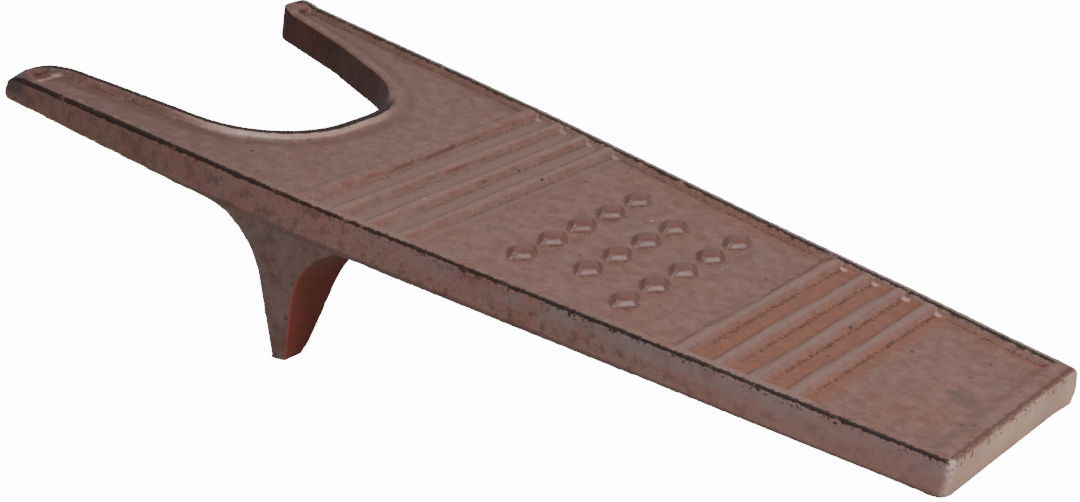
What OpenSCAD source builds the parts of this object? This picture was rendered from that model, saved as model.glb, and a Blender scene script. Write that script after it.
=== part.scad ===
// Cast-iron boot jack. A tapering footboard ends in a fork whose round notch grips
// the heel of a boot. Two short legs hold the fork end up, and the board's tail end
// rests on the floor. The real thing is one casting: the modules below are its
// regions, which meet face to face.
//
// +X runs towards the fork, +Y to the left of a user who faces it, and +Z is up.
// The origin is on the floor under the middle of the whole casting.
// The regions are drawn on the board laid level, with x measured from its tail end
// and z from its underside, and set_down() then tilts them onto the legs.

/* [Footboard] */
// Length along the board, from the tail end to the tip of the left prong
board_l = 302.5; // [280:0.5:330]
// Width across the tail end
tail_w = 71.2; // [66:0.2:80]
// Width across the shoulders, where the sides turn nearly straight
shoulder_w = 111.4; // [106:0.2:118]
// Distance from the notch bottom back to the shoulders
shoulder_back = 29.7; // [24:0.1:40]
// Distance from the middle line to the left prong's outer side, at its tip
left_out = 61.8; // [59:0.1:65]
// Distance from the middle line to the right prong's outer side, at its tip
right_out = 63.4; // [60:0.1:66]
// Thickness of the board under its raised rim, at the tail end
board_t = 8.4; // [6:0.1:12]
// Extra thickness of the board over the legs
belly = 0.9; // [0:0.1:1.5]
// Distance by which the underside rises towards the left prong's tip
left_lift = 2.6; // [0:0.1:3]
// Distance by which the underside rises towards the right prong's tip
right_lift = 0; // [0:0.1:3]
// Radius of the prong tips' lower edge, seen from the side
tip_under_r = 3.5; // [1:0.1:3.8]
// Radius of the tail corner on the left
tail_left_r = 3; // [1:0.5:8]
// Radius of the tail corner on the right
tail_right_r = 2.5; // [1:0.5:8]
// Radius that eases each shoulder
shoulder_r = 160; // [40:5:240]

/* [Heel notch] */
// Depth of the notch, from its bottom to the tip of the left prong
notch_depth = 83.3; // [74:0.1:92]
// Radius of the notch bottom on each side
notch_r = 31.6; // [27:0.1:34]
// Straight stretch across the notch bottom, between the two radii
notch_flat = 10.2; // [6:0.1:14]
// Angle at which the left prong's inner side opens
left_flare = 7.7; // [4:0.1:11]
// Angle at which the right prong's inner side opens beside the notch bottom
right_flare = 20; // [15:0.5:23]
// Angle of the right prong's inner side near its tip
right_tip_flare = 14; // [10:0.5:17]
// Distance from the notch bottom to the bend between those two angles
right_bend = 43.3; // [38:0.1:50]
// Radius that eases that bend
right_bend_r = 45; // [10:1:60]
// Distance by which the right prong is shorter than the left one
right_short = 6.4; // [0:0.1:9]
// Radius of the left prong's tip on the notch side
left_tip_r = 14.5; // [4:0.1:15]
// Radius of the left prong's tip on the outer side
left_tip_outer_r = 4; // [1:0.1:5]
// Radius of the right prong's tip, on both sides
right_tip_r = 5.6; // [1:0.1:6]
// Distance that each prong's root reaches back behind the notch bottom
root_back = 8; // [4:0.5:15]

/* [Raised relief] */
// Height of the rim, the ridges and the studs above the board
relief_h = 1.8; // [1:0.1:3]
// Width of the rim along the sides and round the notch
rim_w = 3.2; // [2:0.1:5]
// Width of the rim across the tail end and at the prong tips
rim_end_w = 6; // [4:0.1:9]
// Radius of the corners of the sunk field inside the rim
field_r = 1.6; // [0.5:0.1:3]
// Ridges in each group
ridges = 4; // [2:1:5]
// Width of a ridge
ridge_w = 2.8; // [1.5:0.1:5]
// Distance from one ridge to the next in its group
ridge_pitch = 10.4; // [8:0.1:12]
// Width of the ridge nearest the notch
ridge_first_w = 4.5; // [2:0.1:6]
// Distance from the notch bottom to the ridge nearest it
ridge_first_back = 25.2; // [16:0.1:30]
// Distance from the tail end to the ridge nearest it
ridge_last_at = 42.6; // [30:0.1:50]
// Length of a grip stud, across the board
stud_l = 11; // [7:0.5:13]
// Width of a grip stud, along the board
stud_w = 7; // [4:0.5:10]
// Distance between neighbouring studs of one row
stud_pitch = 14; // [13.5:0.5:15]
// Distance between the rows of studs
stud_row_pitch = 17; // [12:0.5:20]
// Studs in each row, from the notch towards the tail
stud_rows = [5, 4, 5];

/* [Legs] */
// Height of the legs, square to the board's underside
leg_h = 40; // [30:0.1:46]
// Distance from the notch bottom back to the legs' tail-side faces
leg_back = 28.5; // [24:0.1:34]
// Lean of the legs' fork-side faces
leg_lean = 17.9; // [10:0.1:24]
// Radius of the sweep from a leg's fork-side face up to the board
leg_front_r = 24.5; // [12:0.5:28]
// Radius of the sweep from a leg's tail-side face up to the board
leg_tail_r = 20.4; // [8:0.2:26]
// Thickness of a foot at its bottom, along the board
foot_t = 3.7; // [2:0.1:6]
// Width of a foot at its bottom, across the board
foot_w = 9.8; // [8:0.1:16]
// Slope of a leg's inner side, away from square to the board
leg_splay = 28.9; // [15:0.1:32]
// Distance that a leg's outer side is set in from the board's, at its tail-side face
leg_inset = 1.6; // [0:0.1:3]
// Radius of a foot's bottom corners, along the board
foot_r = 0.9; // [0.3:0.1:1]
// Radius of a foot's inner bottom corner, across the board
foot_inner_r = 7.5; // [1:0.1:9]
// Depth worn off where the casting stands on the floor
rest_wear = 0.4; // [0.2:0.1:0.8]

/* [Hidden] */
$fn = 96;

// Red-brown of the weathered casting, and its darker and lighter places
iron = [0.47, 0.30, 0.25];
iron_dark = [0.36, 0.21, 0.17];
iron_worn = [0.55, 0.37, 0.31];

left = 1;
right = -1;
arc_step = 5; // turn of an outline's arc from one point to the next, in degrees

casting_t = board_t + relief_h;
fork_w = left_out + right_out;
notch_at = board_l - notch_depth;
shoulder_at = notch_at - shoulder_back;
notch_centre_at = notch_at + notch_r;
right_tip_at = board_l - right_short;
root_at = notch_at - root_back;
past = fork_w; // reach of a cutting shape beyond what it cuts

// Distance from the middle line to the board's side at u, anywhere from the shoulder to
// a prong's tip, where it is out
function fork_half(u, out) = shoulder_w / 2
    + (out - shoulder_w / 2) * (u - shoulder_at) / (board_l - shoulder_at);

// Distance from the middle line to a prong's inner side at u, where it opens at flare
function inner_w(u, flare) = notch_flat / 2 + notch_r / cos(flare) + (u - notch_centre_at) * tan(flare);

bend_at = notch_at + right_bend;
bend_w = inner_w(bend_at, right_flare);
left_tip_inner = inner_w(board_l, left_flare);
right_tip_inner = bend_w + (right_tip_at - bend_at) * tan(right_tip_flare);

// Tip radii, held within the widths of the tips
right_tip_out = fork_half(right_tip_at, right_out);
left_tip_w = left_out - left_tip_inner;
left_tip_fit = min(left_tip_r, 0.8 * left_tip_w);
left_outer_fit = min(left_tip_outer_r, 0.25 * left_tip_w);
right_tip_fit = min(right_tip_r, 0.53 * (right_tip_out - right_tip_inner));

function unit(v) = v / norm(v);
function turn(a, b) = atan2(a.x * b.y - a.y * b.x, a * b);

// Arc that rounds the corner p between points a and b with radius r
function arc(a, p, b, r) = let (
    to_a = unit(a - p),
    to_b = unit(b - p),
    bend = turn(-to_a, to_b),
    start = p + to_a * r * tan(abs(bend) / 2),
    centre = start + r * sign(bend) * [to_a.y, -to_a.x],
    spoke = start - centre,
    steps = ceil(abs(bend) / arc_step)
) [for (i = [0:steps]) let (t = bend * i / steps)
    centre + [spoke.x * cos(t) - spoke.y * sin(t), spoke.x * sin(t) + spoke.y * cos(t)]];

// Outline through corners given as [x, y, radius]
function rounded(corners) = let (n = len(corners)) [
    for (i = [0:n - 1]) let (
        before = corners[(i + n - 1) % n],
        here = corners[i],
        after = corners[(i + 1) % n]
    ) each here.z > 0
        ? arc([before.x, before.y], [here.x, here.y], [after.x, after.y], here.z)
        : [[here.x, here.y]]
];

// Outline of the whole casting, seen from above, anticlockwise from the right tail corner
module outline() {
    polygon(rounded([
        [0, -tail_w / 2, tail_right_r],
        [shoulder_at, -shoulder_w / 2, shoulder_r],
        [right_tip_at, -right_tip_out, right_tip_fit],
        [right_tip_at, -right_tip_inner, right_tip_fit],
        [bend_at, -bend_w, right_bend_r],
        [notch_at, -inner_w(notch_at, right_flare), notch_r],
        [notch_at, inner_w(notch_at, left_flare), notch_r],
        [board_l, left_tip_inner, left_tip_fit],
        [board_l, left_out, left_outer_fit],
        [shoulder_at, shoulder_w / 2, shoulder_r],
        [0, tail_w / 2, tail_left_r]
    ]));
}

// Strip across the board between two distances from the tail end
module across(from, to) {
    translate([from, -fork_w]) square([to - from, 2 * fork_w]);
}

// One half of the plane, left or right of the middle line
module half(side) {
    translate([-past, side == left ? 0 : -fork_w]) square([board_l + 2 * past, fork_w]);
}

// The sunk field inside the rim
module field() {
    offset(r = field_r) offset(delta = -field_r) difference() {
        offset(delta = -rim_w) outline();
        across(-past, rim_end_w);
        intersection() {
            across(board_l - rim_end_w, board_l + past);
            half(left);
        }
        intersection() {
            across(right_tip_at - rim_end_w, board_l + past);
            half(right);
        }
    }
}

// Where a leg's faces and sweeps lie along the board
leg_at = notch_at - leg_back;
foot_front_at = leg_at + foot_t;
leg_from = leg_at - leg_tail_r;
leg_front_top = foot_front_at + leg_h * tan(leg_lean);
sweep_reach = leg_front_r / tan((90 + leg_lean) / 2);
sweep_end = leg_front_top + sweep_reach;
sweep_foot = [leg_front_top - sweep_reach * sin(leg_lean), -sweep_reach * cos(leg_lean)];

// Tilt that brings the tail's lower edge and the rounded feet down to one floor
foot_reach = [leg_at + foot_r, belly + leg_h - foot_r];
tilt = atan2(foot_reach.y, foot_reach.x) + asin(foot_r / norm(foot_reach));

// Middle of the tilted casting, between its tail end's upper edge and the left tip's nose
nose_x = (board_l - tip_under_r) * cos(tilt) - (left_lift + tip_under_r) * sin(tilt) + tip_under_r;
middle = [(nose_x - casting_t * sin(tilt)) / 2, (left_out - right_out) / 2];

// Set the level board down on its tail and feet, worn flat where it stands
module set_down() {
    difference() {
        translate([-middle.x, -middle.y, -rest_wear]) rotate([0, -tilt, 0]) children();
        translate([-board_l, -fork_w, -past]) cube([2 * board_l, 2 * fork_w, past]);
    }
}

// Tilt without the floor, for what never reaches it
module set_above() {
    translate([-middle.x, -middle.y, -rest_wear]) rotate([0, -tilt, 0]) children();
}

// The board below its relief, seen from the side with its tip at tip_at. It thickens
// towards the legs and thins out again as its underside rises by lift to the tip.
module board_side(tip_at, lift) {
    polygon(rounded([
        [0, 0, 0],
        [leg_from, -belly, 0],
        [sweep_end, -belly, 0],
        [tip_at, lift, tip_under_r],
        [tip_at, board_t, 0],
        [0, board_t, 0]
    ]));
}

// The board below its relief, within a plan view and with that side view
module board(tip_at, lift) {
    intersection() {
        translate([0, fork_w, 0]) rotate([90, 0, 0]) linear_extrude(2 * fork_w) board_side(tip_at, lift);
        translate([0, 0, -belly]) linear_extrude(board_t + belly) intersection() {
            outline();
            children();
        }
    }
}

// The plain slab from the tail end to the prongs' roots
module deck_plate() {
    color(iron) set_down() board(board_l, left_lift) across(-past, root_at);
}

// One prong, with its half of the rounded notch bottom
module left_prong() {
    color(iron) set_above() board(board_l, left_lift) intersection() {
        across(root_at, board_l + past);
        half(left);
    }
}

module right_prong() {
    color(iron) set_above() board(right_tip_at, right_lift) intersection() {
        across(root_at, board_l + past);
        half(right);
    }
}

// A leg seen from the side: x along the board, y square to it
module leg_side() {
    difference() {
        polygon(rounded([
            [leg_from, 0, 0],
            [leg_at, -leg_tail_r, 0],
            [leg_at, -leg_h, foot_r],
            [foot_front_at, -leg_h, foot_r],
            [sweep_foot.x, sweep_foot.y, 0],
            [sweep_end, 0, 0]
        ]));
        translate([leg_from, -leg_tail_r]) circle(leg_tail_r);
        translate([sweep_end, -leg_front_r]) circle(leg_front_r);
    }
}

// A leg seen along the board: x across it, y square to it
foot_outer = fork_half(leg_at, left_out) - leg_inset;
foot_inner = fork_half(leg_at, left_out) - foot_w;
module leg_end() {
    polygon(rounded([
        [foot_inner - leg_h * tan(leg_splay), 0, 0],
        [foot_inner, -leg_h, foot_inner_r],
        [fork_w / 2, -leg_h, 0],
        [fork_w / 2, 0, 0]
    ]));
}

// A leg seen from above: its outer side runs from the set-in tail-side face out to
// the board's own side where the fork-side sweep ends
sweep_outer = fork_half(sweep_end, left_out);
outer_slope = (sweep_outer - foot_outer) / (sweep_end - leg_at);
module leg_plan() {
    polygon([
        [leg_from, 0],
        [sweep_end, 0],
        [sweep_end, sweep_outer],
        [leg_from, foot_outer - leg_tail_r * outer_slope]
    ]);
}

// The left leg under the board's belly; the right one is its mirror image
module leg() {
    translate([0, 0, -belly]) intersection() {
        translate([0, fork_w, 0]) rotate([90, 0, 0]) linear_extrude(fork_w) leg_side();
        translate([leg_from, 0, 0]) rotate([90, 0, 90]) linear_extrude(sweep_end - leg_from) leg_end();
        translate([0, 0, -leg_h]) linear_extrude(leg_h) leg_plan();
    }
}

module left_leg() {
    color(iron_dark) set_down() leg();
}

module right_leg() {
    color(iron_dark) set_down() mirror([0, 1, 0]) leg();
}

// What stands up from the board's upper side
module relief() {
    set_above() translate([0, 0, board_t]) linear_extrude(relief_h) children();
}

module rim() {
    color(iron_worn) relief() difference() {
        outline();
        field();
    }
}

// Ridges from one distance to another, as strips between the rims
module ridge_group(starts, widths) {
    for (i = [0:len(starts) - 1]) {
        intersection() {
            field();
            across(starts[i], starts[i] + widths[i]);
        }
    }
}

first_ridge_at = notch_at - ridge_first_back - ridge_first_w;
module front_ridges() {
    color(iron_worn) relief() ridge_group(
        [for (i = [0:ridges - 1]) first_ridge_at - i * ridge_pitch],
        [for (i = [0:ridges - 1]) i == 0 ? ridge_first_w : ridge_w]
    );
}

module rear_ridges() {
    color(iron_worn) relief() ridge_group(
        [for (i = [0:ridges - 1]) ridge_last_at + i * ridge_pitch],
        [for (i = [0:ridges - 1]) ridge_w]
    );
}

// Middle of the plain panel between the two groups of ridges
panel_from = ridge_last_at + (ridges - 1) * ridge_pitch + ridge_w;
panel_to = first_ridge_at - (ridges - 1) * ridge_pitch;
panel_at = (panel_from + panel_to) / 2;

// A lozenge that lies across the board
module stud() {
    polygon([[stud_w / 2, 0], [0, stud_l / 2], [-stud_w / 2, 0], [0, -stud_l / 2]]);
}

// Staggered rows of raised lozenges that give the sole a grip
module grip_studs() {
    rows = len(stud_rows);
    color(iron_dark) relief() for (row = [0:rows - 1]) {
        count = stud_rows[row];
        row_at = panel_at + ((rows - 1) / 2 - row) * stud_row_pitch;
        for (i = [0:count - 1]) {
            translate([row_at, (i - (count - 1) / 2) * stud_pitch]) stud();
        }
    }
}

deck_plate();
left_prong();
right_prong();
left_leg();
right_leg();
rim();
front_ridges();
rear_ridges();
grip_studs();
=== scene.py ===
# Boot jack in cast iron, dressed for the camera. The whole casting is fused, worn and
# roughened as one lump, laid level, and then cut into the regions that the frame names.

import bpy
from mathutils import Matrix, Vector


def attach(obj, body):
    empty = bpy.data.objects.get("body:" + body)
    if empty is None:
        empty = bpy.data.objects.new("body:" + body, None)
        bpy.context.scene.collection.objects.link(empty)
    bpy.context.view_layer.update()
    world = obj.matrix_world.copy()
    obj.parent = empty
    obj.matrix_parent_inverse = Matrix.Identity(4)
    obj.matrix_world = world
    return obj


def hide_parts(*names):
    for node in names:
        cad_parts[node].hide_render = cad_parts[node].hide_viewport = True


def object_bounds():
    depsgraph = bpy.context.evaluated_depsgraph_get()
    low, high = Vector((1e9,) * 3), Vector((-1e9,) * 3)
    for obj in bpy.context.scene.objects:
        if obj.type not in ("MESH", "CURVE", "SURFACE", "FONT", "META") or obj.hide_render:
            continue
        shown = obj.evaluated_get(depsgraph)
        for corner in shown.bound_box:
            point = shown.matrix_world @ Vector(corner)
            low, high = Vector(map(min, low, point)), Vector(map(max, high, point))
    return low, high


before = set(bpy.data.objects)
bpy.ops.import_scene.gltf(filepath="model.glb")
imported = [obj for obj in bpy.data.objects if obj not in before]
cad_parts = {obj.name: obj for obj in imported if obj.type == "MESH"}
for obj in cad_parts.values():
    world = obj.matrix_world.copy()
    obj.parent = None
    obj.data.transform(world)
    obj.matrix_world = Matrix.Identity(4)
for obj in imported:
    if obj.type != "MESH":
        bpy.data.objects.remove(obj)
cad_box = [list(corner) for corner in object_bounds()]

import math

import bpy
import numpy as np
from mathutils import Matrix, Vector
from mathutils.kdtree import KDTree

MM = 0.001

# Sizes of the casting in millimetres, on the board laid level: u runs from the tail end,
# w to the left of the middle line, and z up from the underside.
BOARD_L = 302.5
TAIL_W = 71.2
SHOULDER_W = 111.4
SHOULDER_AT = 189.5
LEFT_OUT, RIGHT_OUT = 61.8, 63.4
BOARD_T = 8.4
BELLY = 0.9
RELIEF_H = 1.8
CASTING_T = BOARD_T + RELIEF_H
NOTCH_AT = 219.2
NOTCH_R, NOTCH_FLAT = 31.6, 10.2
LEFT_FLARE, RIGHT_FLARE, RIGHT_TIP_FLARE = 7.7, 20, 14
BEND_AT, BEND_R = 262.5, 45
RIGHT_TIP_AT = 296.1
ROOT_AT = 211.2
RIM_W, RIM_END_W = 3.2, 6
RIDGES, RIDGE_W, RIDGE_PITCH = 4, 2.8, 10.4
FIRST_RIDGE_AT, FIRST_RIDGE_W, LAST_RIDGE_AT = 189.5, 4.5, 42.6
STUD_L, STUD_W, STUD_PITCH, STUD_ROW_PITCH = 11, 7, 14, 17
STUD_ROWS = (5, 4, 5)
LEG_AT, LEG_H = 190.7, 40
FOOT_R, REST_WEAR = 0.9, 0.4
LEFT_LIFT, TIP_UNDER_R = 2.6, 3.5

# How the level board is tilted onto its legs and set down round the frame's origin
FOOT_REACH = (LEG_AT + FOOT_R, BELLY + LEG_H - FOOT_R)
TILT = math.atan2(FOOT_REACH[1], FOOT_REACH[0]) + math.asin(FOOT_R / math.hypot(*FOOT_REACH))
NOSE_X = (BOARD_L - TIP_UNDER_R) * math.cos(TILT) - (LEFT_LIFT + TIP_UNDER_R) * math.sin(TILT) + TIP_UNDER_R
MIDDLE_X = (NOSE_X - CASTING_T * math.sin(TILT)) / 2
MIDDLE_Y = (LEFT_OUT - RIGHT_OUT) / 2
SET_DOWN = (
    Matrix.Translation((-MIDDLE_X * MM, -MIDDLE_Y * MM, -REST_WEAR * MM))
    @ Matrix.Rotation(-TILT, 4, "Y")
)

GRAIN = 0.45 * MM  # size of the voxels that the casting is fused in
LEG_FROM, SWEEP_END = 170.3, 225.15  # where the legs' sweeps meet the underside
OVERLAP = 0.7  # how far a leg reaches up into the board
KEPT_SHARE = 0.45  # share of the triangles kept after the fusing
CUT_SLACK = 1e-6  # how near a cut a vertex may lie and count as on it, in metres

# The relief's slopes: along sides and tips, at the tail, and round the notch, where the slope
# gets steeper along the prongs
SIDE_SLOPE, TAIL_SLOPE, NOTCH_SLOPE = 1.5, 5, 4.5
STEEPER_BY, STEEPER_FROM, STEEPER_OVER = 2.5, 225, 25
RIDGE_H = 0.96  # height of a ridge as a share of the rim's
SINK_FROM, SINK_SPAN = 5, CASTING_T - 5.3  # the heights over which the field's sinking fades in

# Where a prong's tip begins, how its nose is rounded, and what softening took off it
PRONG_W, TIP_REACH = 20, 12
LEFT_NOSE, RIGHT_NOSE, BLUNTNESS = 7.5, 2.0, 2.8
LEFT_RISE, RIGHT_RISE = 0.7, 1.8
LEG_FRONT_PUSH = 0.45

# The fuller stretch of the right side, and the right tail corner next to it
FILL, FILL_FROM, FILL_OVER, FILL_W = 1.0, 105, 60, 14
CORNER_BACK, CORNER_OUT = 1.5, 1.0

SKIN = 0.30  # what the worn skin gets back all over, in millimetres
SWAY, SAND = (45, 0.25), (2.4, 0.15)  # size and depth of the skin's unevenness

WHITE_GLOW = 14.0  # how brightly the camera sees the tent and the floor
TENT_LIGHT = 0.55


# Camera, light and floor

def place_camera():
    """The camera, at the photograph's angle, distance and lens."""
    bpy.ops.object.camera_add()
    camera = bpy.context.object
    right = Vector((-0.80641, -0.59089, -0.02358))
    up = Vector((0.16872, -0.26813, 0.94850))
    stand = Matrix.Translation((-0.3554, 0.4752, 0.2245))
    back = right.cross(up)
    camera.matrix_world = stand @ Matrix((right, up, back)).transposed().to_4x4()
    camera.data.sensor_width = 36
    camera.data.lens = 73.41
    camera.data.shift_x = -0.0006
    camera.data.shift_y = -0.0039
    camera.data.clip_start = 0.02
    bpy.context.scene.camera = camera


def soft_light(name, place, aim, size, watts):
    """One square soft box that shines from place towards aim."""
    bpy.ops.object.light_add(type="AREA", location=place)
    light = bpy.context.object
    light.name = name
    light.data.size = size
    light.data.energy = watts
    towards = Vector(aim) - Vector(place)
    light.rotation_euler = towards.to_track_quat("-Z", "Y").to_euler()


def light_studio():
    """A white tent, a key light from the tail end's side and a little from the front."""
    world = bpy.data.worlds.new("tent")
    bpy.context.scene.world = world
    world.use_nodes = True
    tree = world.node_tree
    seen = add(tree, "ShaderNodeLightPath").outputs["Is Camera Ray"]
    strength = sums(tree, "MULTIPLY_ADD", seen, WHITE_GLOW, TENT_LIGHT)
    tree.links.new(strength, tree.nodes["Background"].inputs["Strength"])
    tree.nodes["Background"].inputs["Color"].default_value = (1, 1, 1, 1)
    soft_light("key", (-0.78, -0.02, 0.42), (-0.05, 0, 0.03), 0.35, 4.2)
    soft_light("overhead", (-0.12, 0.10, 1.0), (0, 0, 0.03), 0.28, 4.0)
    soft_light("front", (-0.35, 1.0, 0.45), (0, 0, 0.03), 0.5, 1.3)


def lay_floor():
    """A wide pale floor with a faint unevenness in its tone."""
    bpy.ops.mesh.primitive_plane_add(size=8)
    floor = bpy.context.object
    floor.name = "floor"
    paint = bpy.data.materials.new("pale floor")
    paint.use_nodes = True
    tree = paint.node_tree
    skin = tree.nodes["Principled BSDF"]
    skin.inputs["Roughness"].default_value = 0.9
    skin.inputs["Specular IOR Level"].default_value = 0.1
    place = add(tree, "ShaderNodeTexCoord").outputs["Object"]
    cloud = add(tree, "ShaderNodeTexNoise", {"Vector": place, "Scale": 3.0})
    tone = ramp(tree, cloud.outputs["Fac"], [(0.3, (0.62, 0.62, 0.62)), (0.7, (0.65, 0.65, 0.65))])
    tree.links.new(tone, skin.inputs["Base Color"])
    seen = add(tree, "ShaderNodeLightPath").outputs["Is Camera Ray"]
    skin.inputs["Emission Color"].default_value = (1, 1, 1, 1)
    tree.links.new(sums(tree, "MULTIPLY", seen, WHITE_GLOW), skin.inputs["Emission Strength"])
    floor.data.materials.append(paint)


# Short words for the bench

def only(thing):
    """Selects one object alone and makes it the active one."""
    if bpy.context.object and bpy.context.object.mode != "OBJECT":
        bpy.ops.object.mode_set(mode="OBJECT")
    bpy.ops.object.select_all(action="DESELECT")
    thing.select_set(True)
    bpy.context.view_layer.objects.active = thing


def work(thing, kind, **settings):
    """Gives the piece one modifier and applies it."""
    only(thing)
    modifier = thing.modifiers.new(kind.lower(), kind)
    for name, value in settings.items():
        setattr(modifier, name, value)
    bpy.ops.object.modifier_apply(modifier=modifier.name)


def points(thing):
    """The vertices' places as an array, one row each."""
    co = np.empty(len(thing.data.vertices) * 3, np.float32)
    thing.data.vertices.foreach_get("co", co)
    return co.reshape(-1, 3).astype(float)


def put_points(thing, co):
    """Moves the vertices to the places in an array."""
    thing.data.vertices.foreach_set("co", co.astype(np.float32).ravel())
    thing.data.update()


def note(thing, name, values):
    """Keeps one number for each vertex under a name, for the material to read."""
    layer = thing.data.attributes.new(name, "FLOAT", "POINT")
    layer.data.foreach_set("value", values.astype(np.float32))


# The board's outline, by the same corners and arcs as the frame

def inner_w(u, flare):
    """Distance from the middle line to a prong's inner side at u."""
    lean = math.radians(flare)
    return NOTCH_FLAT / 2 + NOTCH_R / math.cos(lean) + (u - NOTCH_AT - NOTCH_R) * math.tan(lean)


def fork_half(u, out):
    """Distance from the middle line to the board's side at u, past the shoulder."""
    return SHOULDER_W / 2 + (out - SHOULDER_W / 2) * (u - SHOULDER_AT) / (BOARD_L - SHOULDER_AT)


def arc(before, corner, after, r, step=math.radians(5)):
    """Points that round a corner with radius r."""
    before, corner, after = Vector(before), Vector(corner), Vector(after)
    in_dir, out_dir = (corner - before).normalized(), (after - corner).normalized()
    bend = math.atan2(in_dir.x * out_dir.y - in_dir.y * out_dir.x, in_dir.dot(out_dir))
    start = corner - in_dir * r * math.tan(abs(bend) / 2)
    side = math.copysign(1, bend)
    centre = start + side * r * Vector((-in_dir.y, in_dir.x))
    spoke = start - centre
    steps = math.ceil(abs(bend) / step)
    turned = [Matrix.Rotation(bend * i / steps, 2) @ spoke for i in range(steps + 1)]
    return [centre + spoke_now for spoke_now in turned]


def board_outline():
    """The casting's outline seen from above, anticlockwise from the right tail corner."""
    bend_w = inner_w(BEND_AT, RIGHT_FLARE)
    right_in = bend_w + (RIGHT_TIP_AT - BEND_AT) * math.tan(math.radians(RIGHT_TIP_FLARE))
    right_out = fork_half(RIGHT_TIP_AT, RIGHT_OUT)
    left_in = inner_w(BOARD_L, LEFT_FLARE)
    left_r = min(14.5, 0.8 * (LEFT_OUT - left_in))
    left_outer_r = min(4, 0.25 * (LEFT_OUT - left_in))
    right_r = min(5.6, 0.53 * (right_out - right_in))
    corners = [
        (0, -TAIL_W / 2, 2.5),
        (SHOULDER_AT, -SHOULDER_W / 2, 160),
        (RIGHT_TIP_AT, -right_out, right_r),
        (RIGHT_TIP_AT, -right_in, right_r),
        (BEND_AT, -bend_w, BEND_R),
        (NOTCH_AT, -inner_w(NOTCH_AT, RIGHT_FLARE), NOTCH_R),
        (NOTCH_AT, inner_w(NOTCH_AT, LEFT_FLARE), NOTCH_R),
        (BOARD_L, left_in, left_r),
        (BOARD_L, LEFT_OUT, left_outer_r),
        (SHOULDER_AT, SHOULDER_W / 2, 160),
        (0, TAIL_W / 2, 3),
    ]
    line, in_notch = [], []
    for i, (x, y, r) in enumerate(corners):
        before, after = corners[i - 1], corners[(i + 1) % len(corners)]
        found = arc(before[:2], (x, y), after[:2], r)
        line += found
        in_notch += [3 <= i <= 7] * len(found)
    return np.array([tuple(p) for p in line]), np.array(in_notch)


def from_outline(uw):
    """For each point: its distance inside the outline, and whether the notch is nearest."""
    line, in_notch = board_outline()
    best = np.full(len(uw), 1e9)
    notch = np.zeros(len(uw))
    inside = np.zeros(len(uw), bool)
    for i in range(len(line)):
        a, b = line[i - 1], line[i]
        run = b - a
        share = np.clip(((uw - a) @ run) / (run @ run), 0, 1)
        gap = np.hypot(*(uw - a - share[:, None] * run).T)
        nearer = gap < best
        best[nearer] = gap[nearer]
        notch[nearer] = float(in_notch[i - 1] and in_notch[i])
        if a[1] != b[1]:
            crosses = (a[1] > uw[:, 1]) != (b[1] > uw[:, 1])
            at = a[0] + (uw[:, 1] - a[1]) / (b[1] - a[1]) * (b[0] - a[0])
            inside ^= crosses & (uw[:, 0] < at)
    return np.where(inside, best, -best), notch


def board_half(u):
    """Half the board's width at u, up to the shoulders."""
    return TAIL_W / 2 + (SHOULDER_W - TAIL_W) / 2 * u / SHOULDER_AT


# The casting

def far_fill(u, w):
    """How far the right side's stretch next to the tail end bulges past the outline."""
    return FILL * eased((FILL_FROM - u) / FILL_OVER) * np.clip(1 - (w + board_half(u)) / FILL_W, 0, 1)


def measured(co):
    """Each point's distance inside the casting's side, and whether the notch is nearest."""
    uw = co[:, :2].copy()
    uw[:, 1] += far_fill(*uw.T)
    return from_outline(uw)


def underside(u, w):
    """Height of the board's underside at a place: it sags over the legs and lifts at the tips."""
    if u < LEG_FROM:
        return -BELLY * u / LEG_FROM
    tip_at, lift = (BOARD_L, LEFT_LIFT) if w > 0 else (RIGHT_TIP_AT, 0)
    return -BELLY + (BELLY + lift) * max(0, u - SWEEP_END) / (tip_at - SWEEP_END)


def board_blank():
    """The board as a plain thick plate with its outline, underside and fork."""
    line = board_outline()[0]
    bpy.ops.mesh.primitive_circle_add(vertices=len(line), radius=0.1, fill_type="NGON")
    blank = bpy.context.object
    for vertex, (u, w) in zip(blank.data.vertices, line):
        vertex.co = (u * MM, w * MM, 0)
    bpy.ops.object.mode_set(mode="EDIT")
    bpy.ops.mesh.select_all(action="SELECT")
    bpy.ops.mesh.extrude_region_move(TRANSFORM_OT_translate={"value": (0, 0, CASTING_T * MM)})
    for u in (LEG_FROM, SWEEP_END):
        bpy.ops.mesh.select_all(action="SELECT")
        bpy.ops.mesh.bisect(plane_co=(u * MM, 0, 0), plane_no=(1, 0, 0))
    bpy.ops.mesh.select_all(action="SELECT")
    bpy.ops.mesh.normals_make_consistent(inside=False)
    bpy.ops.object.mode_set(mode="OBJECT")
    for vertex in blank.data.vertices:
        if vertex.co.z < MM:
            vertex.co.z = underside(vertex.co.x / MM, vertex.co.y / MM) * MM
    return blank


def leg_blank(name):
    """A copy of the frame's leg laid level, its top face drawn up into the board."""
    leg = bpy.data.objects.new(name + "_blank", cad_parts[name].data.copy())
    bpy.context.scene.collection.objects.link(leg)
    leg.data.transform(SET_DOWN.inverted())
    leg.data.materials.clear()
    only(leg)
    bpy.ops.object.mode_set(mode="EDIT")
    bpy.ops.mesh.select_all(action="SELECT")
    bpy.ops.mesh.remove_doubles(threshold=0.002 * MM)
    bpy.ops.mesh.select_all(action="DESELECT")
    bpy.ops.object.mode_set(mode="OBJECT")
    for vertex in leg.data.vertices:
        vertex.select = vertex.co.z > (-BELLY - 0.01) * MM
    bpy.ops.object.mode_set(mode="EDIT")
    bpy.ops.transform.translate(value=(0, 0, OVERLAP * MM))
    bpy.ops.object.mode_set(mode="OBJECT")
    return leg


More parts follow.
